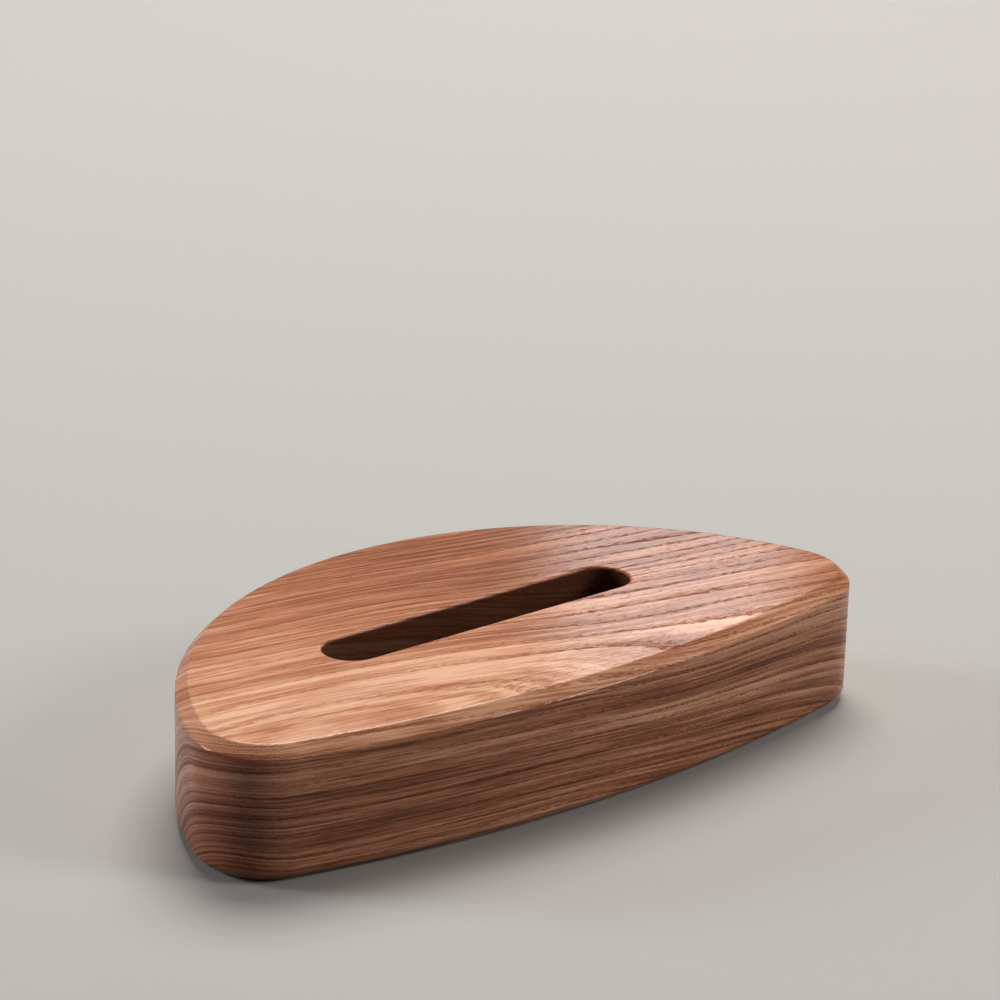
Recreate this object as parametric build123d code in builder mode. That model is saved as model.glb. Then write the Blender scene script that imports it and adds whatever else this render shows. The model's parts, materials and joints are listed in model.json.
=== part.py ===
from build123d import *
from math import asin, atan2, degrees, sqrt
import os

# Phone stand: one solid wooden block with a half-moon plan and an open-topped slot,
# standing on four thin anti-slip pads that are set into its underside.
#
# Frame: millimetres, +Z up, +X along the block, the bowed front faces -Y.
# The origin is on the resting plane, under the middle of the length and the depth.

# --- block, overall ---
length = 200.0
depth = 104.0
height = 35.0  # from the resting plane to the top face
front_radius = 375.0  # the gentle bow of the front
corner_radius = 18.0  # the two ends, where the front meets the back

# --- block, edge work ---
top_chamfer = 3.0
bottom_chamfer = 2.5
edge_ease = 0.8  # sanding radius along both lines of each chamfer

# --- slot for the phone ---
slot_length = 95.0
slot_width = 15.0
slot_depth = 20.0
slot_setback = 49.5  # from the foremost point of the block to the slot's centre line
slot_rim_ease = 0.6

# --- anti-slip pads ---
pad_diameter = 12.0
pad_thickness = 2.0
pad_reveal = 0.5  # how far a pad stands out below the wood
pad_gap = 0.2  # between a pad's edge and the wall of its pocket
pad_edge_chamfer = 0.3
front_pad_x = 76.0
front_pad_y = -30.0
back_pad_x = 40.0
back_pad_y = 28.0

# --- plan outline, worked out from the sizes above ---
# The outline is four tangent arcs: front, one end, back, other end. An end arc's centre
# lies inside the front arc, which fixes it, and the back arc is the one that is tangent
# to both ends and touches the full depth.
front_edge_y = -depth / 2
end_centre_x = length / 2 - corner_radius
end_reach = sqrt((front_radius - corner_radius) ** 2 - end_centre_x**2)
end_centre_y = front_edge_y + front_radius - end_reach
end_to_back = depth / 2 - end_centre_y
back_radius = (end_centre_x**2 + end_to_back**2 - corner_radius**2) / (
    2 * (end_to_back - corner_radius)
)
back_centre_y = depth / 2 - back_radius

# How far each arc turns, over the right half of the outline.
front_turn = degrees(asin(end_centre_x / (front_radius - corner_radius)))
back_turn = 90 - degrees(atan2(end_centre_y - back_centre_y, end_centre_x))
end_turn = 180 - front_turn - back_turn

slot_y = front_edge_y + slot_setback
pad_places = {
    "pad_front_left": (-front_pad_x, front_pad_y),
    "pad_front_right": (front_pad_x, front_pad_y),
    "pad_back_left": (-back_pad_x, back_pad_y),
    "pad_back_right": (back_pad_x, back_pad_y),
}

os.makedirs("parts", exist_ok=True)

# --- wood_block: the whole stand, cut from one board ---
with BuildPart() as wood_block:
    with BuildSketch(Plane.XY.offset(pad_reveal)):
        with BuildLine():
            front = JernArc((0, front_edge_y), (1, 0), front_radius, front_turn)
            end = JernArc(front @ 1, front % 1, corner_radius, end_turn)
            JernArc(end @ 1, end % 1, back_radius, back_turn)
            mirror(about=Plane.YZ)
        make_face()
    extrude(amount=height - pad_reveal)

    # Chamfers round the top and the underside, then a light sanding of their lines.
    chamfer(wood_block.faces().sort_by(Axis.Z)[-1].edges(), top_chamfer)
    chamfer(wood_block.faces().sort_by(Axis.Z)[0].edges(), bottom_chamfer)
    fillet(wood_block.edges().filter_by(GeomType.CIRCLE), edge_ease)

    # Slot with upright walls and round ends, open at the top only.
    with BuildSketch(Plane.XY.offset(height)):
        with Locations((0, slot_y)):
            SlotOverall(slot_length, slot_width)
    extrude(amount=-slot_depth, mode=Mode.SUBTRACT)
    slot_rim = wood_block.faces().sort_by(Axis.Z)[-1].inner_wires().edges()
    fillet(slot_rim, slot_rim_ease)

    # Shallow pockets that hold the pads.
    with BuildSketch(Plane.XY.offset(pad_reveal)):
        with Locations(*pad_places.values()):
            Circle(pad_diameter / 2 + pad_gap)
    extrude(amount=pad_thickness - pad_reveal, mode=Mode.SUBTRACT)

wood_block.part.label = "wood_block"
export_step(wood_block.part, "parts/wood_block.step")

# --- pads: round anti-slip discs, glued into the pockets ---
for pad_name, pad_place in pad_places.items():
    with BuildPart() as pad:
        with BuildSketch(Plane.XY):
            with Locations(pad_place):
                Circle(pad_diameter / 2)
        extrude(amount=pad_thickness)
        chamfer(pad.edges().group_by(Axis.Z)[0], pad_edge_chamfer)
    pad.part.label = pad_name
    export_step(pad.part, f"parts/{pad_name}.step")
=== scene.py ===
import json
from math import cos, radians, sin

import bpy
from mathutils import Matrix, Vector

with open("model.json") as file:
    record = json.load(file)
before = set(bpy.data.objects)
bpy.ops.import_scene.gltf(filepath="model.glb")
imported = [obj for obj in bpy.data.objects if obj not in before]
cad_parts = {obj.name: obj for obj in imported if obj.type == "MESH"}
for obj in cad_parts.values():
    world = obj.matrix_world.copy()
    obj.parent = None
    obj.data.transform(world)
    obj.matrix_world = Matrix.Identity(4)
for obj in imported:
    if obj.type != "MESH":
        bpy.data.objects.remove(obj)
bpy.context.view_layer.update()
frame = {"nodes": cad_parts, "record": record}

MM = 0.001  # one millimetre, in scene units


# ---------------------------------------------------------------- node trees
class Net:
    """One material's node tree, with a short call for each kind of node used below."""

    def __init__(self, name):
        self.material = bpy.data.materials.new(name)
        self.material.use_nodes = True
        self.tree = self.material.node_tree
        self.surface = self.tree.nodes["Principled BSDF"].inputs

    def node(self, kind, **settings):
        made = self.tree.nodes.new(kind)
        for key, value in settings.items():
            setattr(made, key, value)
        return made

    def feed(self, socket, value):
        if isinstance(value, bpy.types.NodeSocket):
            self.tree.links.new(value, socket)
        else:
            socket.default_value = value

    def math(self, operation, *values):
        made = self.node("ShaderNodeMath", operation=operation)
        for socket, value in zip(made.inputs, values):
            self.feed(socket, value)
        return made.outputs[0]

    def add(self, *values):
        total = values[0]
        for value in values[1:]:
            total = self.math("ADD", total, value)
        return total

    def times(self, *values):
        product = values[0]
        for value in values[1:]:
            product = self.math("MULTIPLY", product, value)
        return product

    def scaled(self, value, factor, offset=0.0):
        return self.math("MULTIPLY_ADD", value, factor, offset)

    def swing(self, value, size):
        """A 0 to 1 value turned into one that swings by half of the size either way."""
        return self.scaled(value, size, -size / 2)

    def centred(self, noise, reach, smooth=True):
        """A noise as -0.5 to 0.5, full at the given reach either side of its middle."""
        return self.between(noise, 0.5 - reach, 0.5 + reach, -0.5, 0.5, smooth)

    def vector(self, x, y, z=0.0):
        made = self.node("ShaderNodeCombineXYZ")
        for socket, value in zip(made.inputs, (x, y, z)):
            self.feed(socket, value)
        return made.outputs[0]

    def stretched(self, vector, sizes, shift=(0.0, 0.0, 0.0)):
        """The place in cells of the given sizes, so that a pattern is drawn out by them."""
        made = self.node("ShaderNodeVectorMath", operation="MULTIPLY_ADD")
        self.feed(made.inputs[0], vector)
        made.inputs[1].default_value = [1 / size for size in sizes]
        made.inputs[2].default_value = shift
        return made.outputs[0]

    def noise(self, vector, detail=2.0, roughness=0.5, output="Fac"):
        made = self.node("ShaderNodeTexNoise")
        self.feed(made.inputs["Vector"], vector)
        made.inputs["Scale"].default_value = 1.0
        made.inputs["Detail"].default_value = detail
        made.inputs["Roughness"].default_value = roughness
        return made.outputs[output]

    def cells(self, vector):
        """Distance to the nearest of one scattered point per cell."""
        made = self.node("ShaderNodeTexVoronoi", feature="F1")
        self.feed(made.inputs["Vector"], vector)
        made.inputs["Scale"].default_value = 1.0
        return made.outputs["Distance"]

    def between(self, value, low, high, to_low=0.0, to_high=1.0, smooth=True):
        kind = "SMOOTHSTEP" if smooth else "LINEAR"
        made = self.node("ShaderNodeMapRange", interpolation_type=kind, clamp=True)
        for socket, each in zip(made.inputs, (value, low, high, to_low, to_high)):
            self.feed(socket, each)
        return made.outputs[0]

    def ramp(self, value, stops):
        made = self.node("ShaderNodeValToRGB")
        self.feed(made.inputs[0], value)
        elements = made.color_ramp.elements
        while len(elements) < len(stops):
            elements.new(0.5)
        for element, (place, colour) in zip(elements, stops):
            element.position = place
            element.color = (*colour, 1.0)
        return made.outputs["Color"]

    def mix(self, amount, first, second, blend="MIX"):
        made = self.node("ShaderNodeMix", data_type="RGBA", blend_type=blend)
        self.feed(made.inputs[0], amount)
        self.feed(made.inputs[6], first)
        self.feed(made.inputs[7], second)
        return made.outputs[2]

    def bump(self, height, distance, strength=1.0):
        made = self.node("ShaderNodeBump")
        self.feed(made.inputs["Height"], height)
        made.inputs["Distance"].default_value = distance
        made.inputs["Strength"].default_value = strength
        return made.outputs[0]

    def place_mm(self):
        """Where the shaded point is, in the part's own frame, in millimetres."""
        coords = self.node("ShaderNodeTexCoord").outputs["Object"]
        return self.stretched(coords, (MM, MM, MM))

    def split(self, vector):
        made = self.node("ShaderNodeSeparateXYZ")
        self.feed(made.inputs[0], vector)
        return made.outputs


# ---------------------------------------------------------------- wood
# The block is cut from one board, so its figure is solid: the growth rings are nested
# shells round the heart of the tree, which ran under the front of the block, a little
# askew to it and sinking towards the right. All sizes here are millimetres.
HEART_Y = -50.8  # the heart's place at the middle of the block's length
HEART_Z = -16.6
HEART_Y_PER_X = -0.155  # how the heart runs askew to the block's length
HEART_SINK = 2.8  # half of how far it sinks from left to right
HEART_SINK_X = 5.6  # the middle of that sinking
HEART_SINK_LENGTH = 25.7
RING_OVAL = 0.91  # rings are a little wider across than they are high
RING_WIDTH = 2.9  # one year's growth
EARLY_ENDS = 0.40  # shares of a year
LATE_STARTS = 0.55
DRIFT_RADIUS = 9.0  # how far across the rings their width drifts
DRIFT_LENGTH = 160.0  # and how far along the grain
DRIFT_YEARS = 3.0

WANDER_CELL = (70.0, 26.0, 26.0)  # slow wander of the grain
WANDER_ACROSS = 3.0
WANDER_UP = 2.4
RIPPLE_CELL = (4.0, 1.3, 1.3)  # the quick ripple that makes the lines feathery
RIPPLE_DEPTH = 0.30

LINE_WIDTH = 2.0  # the lines inside a band, and the threads inside a line
THREAD_WIDTH = 0.8
THREAD_LENGTH = 45.0
STREAK_CELL = (28.0, 0.9, 0.9)
FIBRE_CELL = (9.0, 0.38, 0.38)
PORE_CELL = (2.6, 0.42, 0.42)  # open pores are short dashes along the grain
PORE_SIZE = 0.10  # a share of a cell
PORE_SIZE_ADDED = 0.32  # in early wood
PORE_EDGE = 0.16
MOTTLE_CELL = (38.0, 7.0, 7.0)
HUE_CELL = (70.0, 9.0, 9.0)

# Tone of the board by distance from the heart: 0 is its darkest wood, 1 its palest.
BOARD_TONES = (
    (0.0, 0.50),
    (19.0, 0.56),
    (24.0, 0.38),
    (26.6, 0.28),
    (28.0, 0.52),
    (30.5, 0.26),
    (32.8, 0.44),
    (35.2, 0.30),
    (38.5, 0.66),
    (41.0, 0.50),
    (44.2, 0.30),
    (47.0, 0.60),
    (51.5, 0.84),
    (54.0, 0.72),
    (56.0, 0.84),
    (57.3, 0.58),
    (61.0, 0.56),
    (64.5, 0.72),
    (67.8, 0.50),
    (70.5, 0.57),
    (73.0, 0.57),
    (77.5, 0.46),
    (80.0, 0.51),
    (84.0, 0.42),
    (90.0, 0.50),
    (97.0, 0.42),
    (108.0, 0.48),
)
# What each part of the figure adds to that tone.
LINE_TONE = 0.40
THREAD_TONE = 0.40
LATE_TONE = 0.07
EARLY_TONE = -0.10
STREAK_TONE = 0.22
FIBRE_TONE = 0.19
MOTTLE_TONE = 0.10
# The lines are strongest in the inner wood, and fade to these shares in the outer wood.
CONTRAST_RADII = (42.0, 60.0)
OUTER_LINES = 0.42
OUTER_THREADS = 0.739
# How the outer wood's tone changes from left to right, and the inner wood's share of it.
SLOPE_X = (-60.0, 15.0)
SLOPE_TONES = (0.04, -0.12)
SLOPE_RADII = (38.0, 52.0)
INNER_SLOPE = -0.6

WOOD_COLOURS = (
    (0.0, (0.110, 0.034, 0.014)),
    (0.25, (0.239, 0.078, 0.033)),
    (0.5, (0.420, 0.159, 0.075)),
    (0.75, (0.612, 0.302, 0.170)),
    (1.0, (0.745, 0.433, 0.278)),
)
PORE_COLOUR = (0.185, 0.056, 0.022, 1.0)
PORE_DARKNESS = 0.36
PORE_DARKNESS_ADDED = 0.34  # in early wood
PORE_DARKNESS_X = (-70.0, 30.0)  # and it grows from left to right
PORE_DARKNESS_SHARES = (0.62, 1.05)
ROSY_TINT = (0.975, 0.96, 1.00, 1.0)
END_GRAIN_TINT = (0.95, 0.80, 0.76, 1.0)  # end grain drinks in more of the finish
SLOT_SHADE_COLOUR = (0.050, 0.016, 0.007, 1.0)  # painted shade: the slot's walls and bottom darkened as if in shadow
# How strongly the painted shade darkens the slot's walls and bottom.
SLOT_SHADE = 0.84

# Cosines of the angle between the surface's normal and the fibres, or the rings' radius.
END_GRAIN_FROM = 0.30
FLAT_GRAIN = (0.84, 0.98)

PORE_RELIEF = 0.060
FIBRE_RELIEF = 0.020
RELIEF_STRENGTH = 0.75
BARE_ROUGHNESS = (0.42, 0.65)  # under the varnish, on smooth wood and in pores
BARE_SHINE = 0.06
VARNISH_ROUGHNESS = 0.12
VARNISH_WEIGHT = 0.48
VARNISH_LOST_IN_PORES = 0.46
VARNISH_LOST_IN_EARLY_WOOD = 0.18
VARNISH_LOST_IN_SLOT = 0.3

# The slot's cut walls, where shade is painted: half sizes with a little to spare, the depth,
# and the height over which the painted shade fades out towards its eased rim.
SLOT_HALF_LENGTH = 48.2
SLOT_HALF_WIDTH = 8.2
SLOT_DEPTH = 21.0
SLOT_RIM = (0.4, 1.0)


def mount_mm(name):
    """Where the record puts one of the part's mounts, in millimetres."""
    for mount in frame["record"]["mounts"]:
        if mount["name"] == name:
            return [value / MM for value in mount["pos_m"]]
    raise KeyError(name)


def heart_place(net, place):
    """The place measured from the heart of the tree: along it, across from it, up from it."""
    x, y, z = net.split(place)
    turn = net.scaled(x, 1 / HEART_SINK_LENGTH, -HEART_SINK_X / HEART_SINK_LENGTH)
    sink = net.math("TANH", turn)
    across = net.math("SUBTRACT", y, net.scaled(x, HEART_Y_PER_X, HEART_Y))
    up = net.math("SUBTRACT", z, net.scaled(sink, -HEART_SINK, HEART_Z))
    return x, across, up


def ring_radius(net, place, across, up):
    """Distance from the heart, with the grain's slow wander and quick ripple in it."""
    wander = net.noise(net.stretched(place, WANDER_CELL), detail=0.0, output="Color")
    _, side, lift = net.split(wander)
    ripple = net.noise(net.stretched(place, RIPPLE_CELL), detail=1.0)
    wide = net.scaled(net.add(across, net.swing(side, WANDER_ACROSS)), RING_OVAL)
    high = net.add(up, net.swing(lift, WANDER_UP))
    squares = net.add(net.math("POWER", wide, 2.0), net.math("POWER", high, 2.0))
    return net.add(net.math("SQRT", squares), net.swing(ripple, RIPPLE_DEPTH))


def seasons(net, radius, along):
    """Early wood, which is porous, and late wood, which is dense: 1 where it is strongest."""
    drift = net.noise(net.vector(net.scaled(radius, 1 / DRIFT_RADIUS), along, 4.0), detail=1.0)
    years = net.add(net.scaled(radius, 1 / RING_WIDTH), net.scaled(drift, DRIFT_YEARS))
    year = net.math("FRACT", years)
    early = net.between(year, 0.0, EARLY_ENDS, 1.0, 0.0)
    late = net.between(year, LATE_STARTS, 1.0)
    return early, late


def grain_lines(net, radius, x, along):
    """Lines and finer threads that follow the rings, each from -0.5 to 0.5."""
    line_place = net.vector(net.scaled(radius, 1 / LINE_WIDTH), along, 0.0)
    lines = net.noise(line_place, detail=3.0, roughness=0.75)
    thread_place = net.vector(
        net.scaled(radius, 1 / THREAD_WIDTH), net.scaled(x, 1 / THREAD_LENGTH), 7.0
    )
    threads = net.noise(thread_place, detail=2.0, roughness=0.8)
    return net.centred(lines, 0.20, smooth=False), net.centred(threads, 0.14)


def fibre_streaks(net, fibre_place):
    """Long streaks and short fine fibres along the grain, each from -0.5 to 0.5."""
    streaks = net.noise(net.stretched(fibre_place, STREAK_CELL), detail=2.0, roughness=0.6)
    fibre = net.noise(net.stretched(fibre_place, FIBRE_CELL), detail=1.0, roughness=0.6)
    return net.centred(streaks, 0.16), net.centred(fibre, 0.25, smooth=False)


def open_pores(net, fibre_place, early):
    """1 inside an open pore: many in early wood, few elsewhere."""
    distance = net.cells(net.stretched(fibre_place, PORE_CELL))
    size = net.scaled(early, PORE_SIZE_ADDED, PORE_SIZE)
    return net.between(net.math("SUBTRACT", distance, size), 0.0, PORE_EDGE, 1.0, 0.0)


def pore_darkness(net, early, x):
    """How dark the pores are: darkest in early wood and towards the right."""
    depth = net.scaled(early, PORE_DARKNESS_ADDED, PORE_DARKNESS)
    return net.times(depth, net.between(x, *PORE_DARKNESS_X, *PORE_DARKNESS_SHARES))


def board_band(net, radius):
    """The board's broad bands of tone, by distance from the heart."""
    full = BOARD_TONES[-1][0]
    stops = [(distance / full, (tone, tone, tone)) for distance, tone in BOARD_TONES]
    return net.ramp(net.scaled(radius, 1 / full), stops)


def board_slope(net, radius, x):
    """The outer wood darkens towards the right, and the inner wood pales a little."""
    slope = net.between(x, *SLOPE_X, *SLOPE_TONES)
    return net.times(slope, net.between(radius, *SLOPE_RADII, INNER_SLOPE, 1.0))


def slot_walls(net, place):
    """1 on the walls and the bottom of the slot, 0 elsewhere."""
    middle_x, middle_y, top = mount_mm("phone_slot")
    x, y, z = net.split(place)
    away_x = net.math("ABSOLUTE", net.scaled(x, 1.0, -middle_x))
    away_y = net.math("ABSOLUTE", net.scaled(y, 1.0, -middle_y))
    inside = net.times(
        net.math("LESS_THAN", away_x, SLOT_HALF_LENGTH),
        net.math("LESS_THAN", away_y, SLOT_HALF_WIDTH),
    )
    below = net.between(z, top - SLOT_RIM[1], top - SLOT_RIM[0], 1.0, 0.0)
    above = net.math("GREATER_THAN", z, top - SLOT_DEPTH)
    return net.times(inside, below, above)


def surface_cut(net, across, up):
    """How the surface cuts the wood: 1 for end grain, and 1 where it skims along the rings."""
    normal = net.node("ShaderNodeTexCoord").outputs["Normal"]
    along_fibres, sideways, upward = net.split(normal)
    end_grain = net.between(net.math("ABSOLUTE", along_fibres), END_GRAIN_FROM, 1.0)
    outward = net.add(net.times(sideways, across), net.times(upward, up))
    reach = net.math("SQRT", net.add(net.times(across, across), net.times(up, up)))
    skimming = net.math("ABSOLUTE", net.math("DIVIDE", outward, reach))
    return end_grain, net.between(skimming, *FLAT_GRAIN)


def make_wood():
    net = Net("varnished_wood")
    place = net.place_mm()
    x, across, up = heart_place(net, place)
    fibre_place = net.vector(x, across, up)
    along = net.scaled(x, 1 / DRIFT_LENGTH)

    radius = ring_radius(net, place, across, up)
    early, late = seasons(net, radius, along)
    lines, threads = grain_lines(net, radius, x, along)
    streaks, fibre = fibre_streaks(net, fibre_place)
    pores = open_pores(net, fibre_place, early)
    mottle = net.noise(net.stretched(place, MOTTLE_CELL), detail=1.0)
    in_slot = slot_walls(net, place)
    end_grain, flat_grain = surface_cut(net, across, up)

    # Colour: one tone per place, read off the wood's own range of browns.
    line_share = net.between(radius, *CONTRAST_RADII, 1.0, OUTER_LINES)
    thread_share = net.between(radius, *CONTRAST_RADII, 1.0, OUTER_THREADS)
    tone = net.add(
        board_band(net, radius),
        board_slope(net, radius, x),
        net.times(net.scaled(lines, LINE_TONE), line_share),
        net.times(net.scaled(threads, THREAD_TONE), thread_share),
        net.scaled(late, LATE_TONE),
        net.scaled(early, EARLY_TONE),
        net.times(net.scaled(streaks, STREAK_TONE), flat_grain),
        net.scaled(fibre, FIBRE_TONE),
        net.swing(mottle, MOTTLE_TONE),
    )
    colour = net.ramp(tone, WOOD_COLOURS)
    hue = net.noise(net.stretched(place, HUE_CELL, (3.0, 0.0, 0.0)), detail=1.0)
    colour = net.mix(net.between(hue, 0.35, 0.65), colour, ROSY_TINT, "MULTIPLY")
    colour = net.mix(end_grain, colour, END_GRAIN_TINT, "MULTIPLY")
    colour = net.mix(net.times(pores, pore_darkness(net, early, x)), colour, PORE_COLOUR)
    # Painted shade: the slot's walls and bottom are darkened towards near black, standing in
    # for the shadow inside the slot.
    colour = net.mix(net.scaled(in_slot, SLOT_SHADE), colour, SLOT_SHADE_COLOUR)
    net.feed(net.surface["Base Color"], colour)

    # Finish: bare fibres and pores under a satin varnish that doesn't quite fill them.
    relief = net.add(net.scaled(pores, -PORE_RELIEF), net.scaled(fibre, FIBRE_RELIEF))
    normal = net.bump(relief, MM, RELIEF_STRENGTH)
    roughness = net.between(net.add(fibre, pores), -0.5, 1.0, *BARE_ROUGHNESS)
    gloss = net.add(
        net.scaled(pores, -VARNISH_LOST_IN_PORES, VARNISH_WEIGHT),
        net.scaled(early, -VARNISH_LOST_IN_EARLY_WOOD),
        net.scaled(in_slot, -VARNISH_LOST_IN_SLOT),
    )
    net.feed(net.surface["Normal"], normal)
    net.feed(net.surface["Coat Normal"], normal)
    net.feed(net.surface["Roughness"], roughness)
    net.feed(net.surface["Coat Weight"], net.math("MAXIMUM", gloss, 0.0))
    net.surface["Coat Roughness"].default_value = VARNISH_ROUGHNESS
    net.surface["Specular IOR Level"].default_value = BARE_SHINE
    return net.material


# ---------------------------------------------------------------- pads
RUBBER_GRAIN = (0.35, 0.35, 0.35)  # millimetres
RUBBER_COLOURS = (
    (0.3, (0.016, 0.016, 0.017)),
    (0.7, (0.034, 0.034, 0.035)),
)
RUBBER_ROUGHNESS = (0.62, 0.85)
RUBBER_RELIEF = 0.06


def make_rubber():
    net = Net("pad_rubber")
    grain = net.noise(net.stretched(net.place_mm(), RUBBER_GRAIN), detail=3.0, roughness=0.6)
    net.feed(net.surface["Base Color"], net.ramp(grain, RUBBER_COLOURS))
    net.feed(net.surface["Roughness"], net.between(grain, 0.2, 0.8, *RUBBER_ROUGHNESS))
    net.feed(net.surface["Normal"], net.bump(net.scaled(grain, RUBBER_RELIEF), MM))
    return net.material


wood = make_wood()
rubber = make_rubber()
for name, node in frame["nodes"].items():
    node.material_slots[0].material = wood if name == "wood_block" else rubber


# ---------------------------------------------------------------- stage
# A plain pale floor under soft lamps: a wide key from the back right, a low fill from the
# front right, a cool rim light for the left end and a small lamp whose reflection lies on
# the top. The floor looks pale but throws little light back, so the turned corner is dark.
FLOOR_SIZE = 8.0
FLOOR_COLOUR = (0.435, 0.42, 0.40, 1.0)
FLOOR_BOUNCE = (0.12, 0.116, 0.112, 1.0)  # its colour for the light it throws back
FLOOR_ROUGHNESS = 0.9
FLOOR_SHINE = 0.1
WORLD_COLOUR = (1.0, 0.98, 0.96, 1.0)
WORLD_STRENGTH = 0.055
LIGHTS = {
    # name: place, aim, size (metres), power (watts), colour
    "key": ((0.80, 0.80, 1.95), (0, 0, 0), (1.5, 1.5), 59.0, (1.0, 0.98, 0.95)),
    "fill": ((1.30, -1.67, 1.13), (0, 0, 0), (0.8, 0.8), 23.0, (1.0, 0.98, 0.96)),
    "rim": ((-1.58, 1.73, 0.83), (0, 0, 0), (0.7, 0.7), 29.0, (0.90, 0.94, 1.0)),
    "sheen": ((0.724, 0.722, 0.42), (0.05, 0, 0.035), (0.12, 0.16), 0.28, (0.94, 0.97, 1.0)),
}


def make_floor():
    bpy.ops.mesh.primitive_plane_add(size=FLOOR_SIZE)
    floor = bpy.context.object
    floor.name = "floor"
    net = Net("floor")
    bounced = net.node("ShaderNodeLightPath").outputs["Is Diffuse Ray"]
    net.feed(net.surface["Base Color"], net.mix(bounced, FLOOR_COLOUR, FLOOR_BOUNCE))
    net.surface["Roughness"].default_value = FLOOR_ROUGHNESS
    net.surface["Specular IOR Level"].default_value = FLOOR_SHINE
    floor.data.materials.append(net.material)


def make_world():
    world = bpy.data.worlds.new("studio")
    world.use_nodes = True
    background = world.node_tree.nodes["Background"]
    background.inputs["Color"].default_value = WORLD_COLOUR
    background.inputs["Strength"].default_value = WORLD_STRENGTH
    bpy.context.scene.world = world


def make_light(name, place, aim, size, power, colour):
    data = bpy.data.lights.new(name, "AREA")
    data.shape = "RECTANGLE"
    data.size, data.size_y = size
    data.energy = power
    data.color = colour
    light = bpy.data.objects.new(name, data)
    light.location = place
    light.rotation_euler = (Vector(aim) - Vector(place)).to_track_quat("-Z", "Y").to_euler()
    bpy.context.scene.collection.objects.link(light)


make_floor()
make_world()
for name, settings in LIGHTS.items():
    make_light(name, *settings)

# ---------------------------------------------------------------- camera
# Seen from the front left and a little above, through a long lens.
CAMERA_AZIMUTH = radians(39.52)  # towards the left of straight in front
CAMERA_ELEVATION = radians(21.85)
CAMERA_ROLL = radians(1.43)
CAMERA_DISTANCE = 1.028
CAMERA_TARGET = Vector((0.0, 0.0, 0.040))
CAMERA_LENS_MM = 148.35
CAMERA_SENSOR_MM = 36.0
CAMERA_SHIFT = (0.0266, 0.0904)


def make_camera():
    back = Vector((
        -sin(CAMERA_AZIMUTH) * cos(CAMERA_ELEVATION),
        -cos(CAMERA_AZIMUTH) * cos(CAMERA_ELEVATION),
        sin(CAMERA_ELEVATION),
    ))
    level_right = Vector((0, 0, 1)).cross(back).normalized()
    level_up = back.cross(level_right)
    right = level_right * cos(CAMERA_ROLL) + level_up * sin(CAMERA_ROLL)
    up = back.cross(right)
    data = bpy.data.cameras.new("camera")
    data.lens = CAMERA_LENS_MM
    data.sensor_width = CAMERA_SENSOR_MM
    data.shift_x, data.shift_y = CAMERA_SHIFT
    camera = bpy.data.objects.new("camera", data)
    turn = Matrix((right, up, back)).transposed().to_4x4()
    camera.matrix_world = Matrix.Translation(CAMERA_TARGET + back * CAMERA_DISTANCE) @ turn
    bpy.context.scene.collection.objects.link(camera)
    bpy.context.scene.camera = camera


make_camera()
bpy.context.scene.view_settings.view_transform = "Standard"
